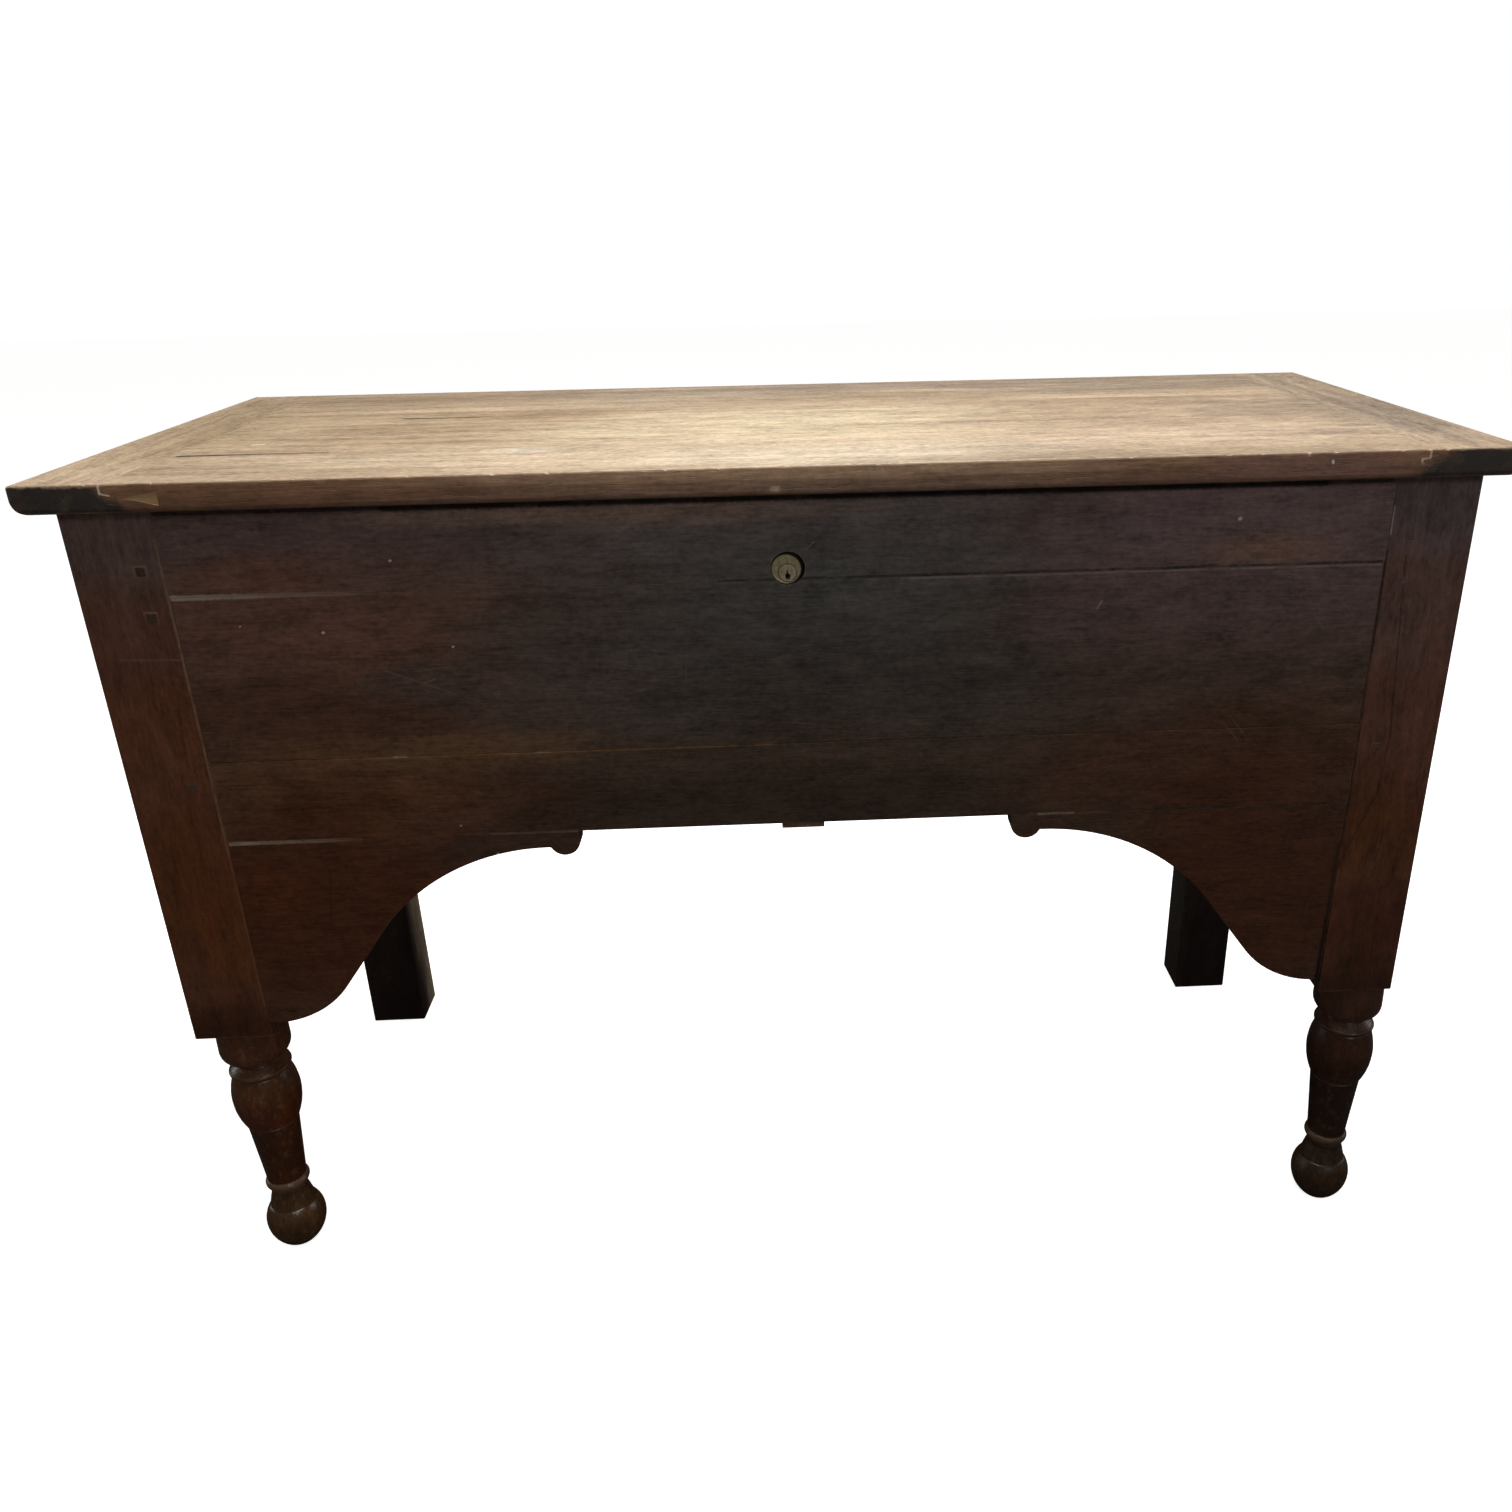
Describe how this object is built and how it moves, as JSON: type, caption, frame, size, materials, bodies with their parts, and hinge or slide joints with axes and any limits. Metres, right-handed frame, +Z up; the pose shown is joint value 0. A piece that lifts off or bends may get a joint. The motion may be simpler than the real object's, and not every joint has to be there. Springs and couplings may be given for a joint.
{
  "type": "sugar chest",
  "caption": "Joined wooden sugar chest with a hinged plank lid, turned front feet, ogee brackets and a lock.",
  "frame": {"origin": "bottom centre of the bounding box: on the floor under the middle of the chest, hinge barrels included", "axes": "+X along the front to the right, +Y from the front to the back, +Z up"},
  "size_m": [1.264, 0.5444, 0.853],
  "materials": {
    "lid_wood": "worn wax",
    "dark_wood": "old dark stain",
    "post_wood": "old red stain",
    "inner_wood": "bare",
    "peg_wood": "old dark stain",
    "iron": "aged",
    "lock_brass": "dull"
  },
  "bodies": {
    "case": {"front_left_leg": "post_wood", "front_right_leg": "post_wood", "rear_left_leg": "dark_wood", "rear_right_leg": "dark_wood", "front_top_rail": "dark_wood", "front_upper_board": "dark_wood", "front_lower_board": "dark_wood", "front_left_bracket": "dark_wood", "front_right_bracket": "dark_wood", "left_side_upper_board": "dark_wood", "left_side_lower_board": "dark_wood", "right_side_upper_board": "dark_wood", "right_side_lower_board": "dark_wood", "back_upper_board": "dark_wood", "back_lower_board": "dark_wood", "floor_front_board": "inner_wood", "floor_middle_board": "inner_wood", "floor_rear_board": "inner_wood", "centre_batten": "inner_wood", "divider": "inner_wood", "front_pegs": "peg_wood", "back_pegs": "peg_wood", "left_side_pegs": "peg_wood", "right_side_pegs": "peg_wood", "batten_nails": "iron", "left_hinge_case_leaf": "iron", "right_hinge_case_leaf": "iron", "left_hinge_pin": "iron", "right_hinge_pin": "iron", "hinge_case_screws": "iron", "lock_case": "iron", "lock_cover": "iron", "lock_face_plate": "lock_brass", "lock_cylinder": "lock_brass", "lock_screws": "iron"},
    "lid": {"lid_front_board": "lid_wood", "lid_middle_board": "lid_wood", "lid_rear_board": "lid_wood", "lid_left_end": "lid_wood", "lid_right_end": "lid_wood", "left_hinge_lid_leaf": "iron", "right_hinge_lid_leaf": "iron", "hinge_lid_screws": "iron", "lid_strike": "lock_brass", "lid_strike_screws": "iron"},
    "lock_plug": {"lock_plug": "lock_brass", "lock_cam": "iron", "lock_cam_screw": "iron"},
    "lock_bolt": {"lock_bolt": "iron"}
  },
  "joints": [
    {"name": "lid_hinge", "type": "hinge", "parent": "case", "child": "lid", "pos_m": [0, 0.2682, 0.828], "axis": [-1, 0, 0], "range_deg": [0, 105]},
    {"name": "lock_plug_turn", "type": "hinge", "parent": "case", "child": "lock_plug", "pos_m": [0, -0.2382, 0.7552], "axis": [0, 1, 0], "range_deg": [0, 90]},
    {"name": "lock_bolt_slide", "type": "slide", "parent": "case", "child": "lock_bolt", "axis": [1, 0, 0], "range_m": [0, 0.00706]}
  ],
  "couplings": [
    {"joint": "lock_plug_turn", "follows": "lock_bolt_slide", "rad_per_m": 222.2}
  ]
}
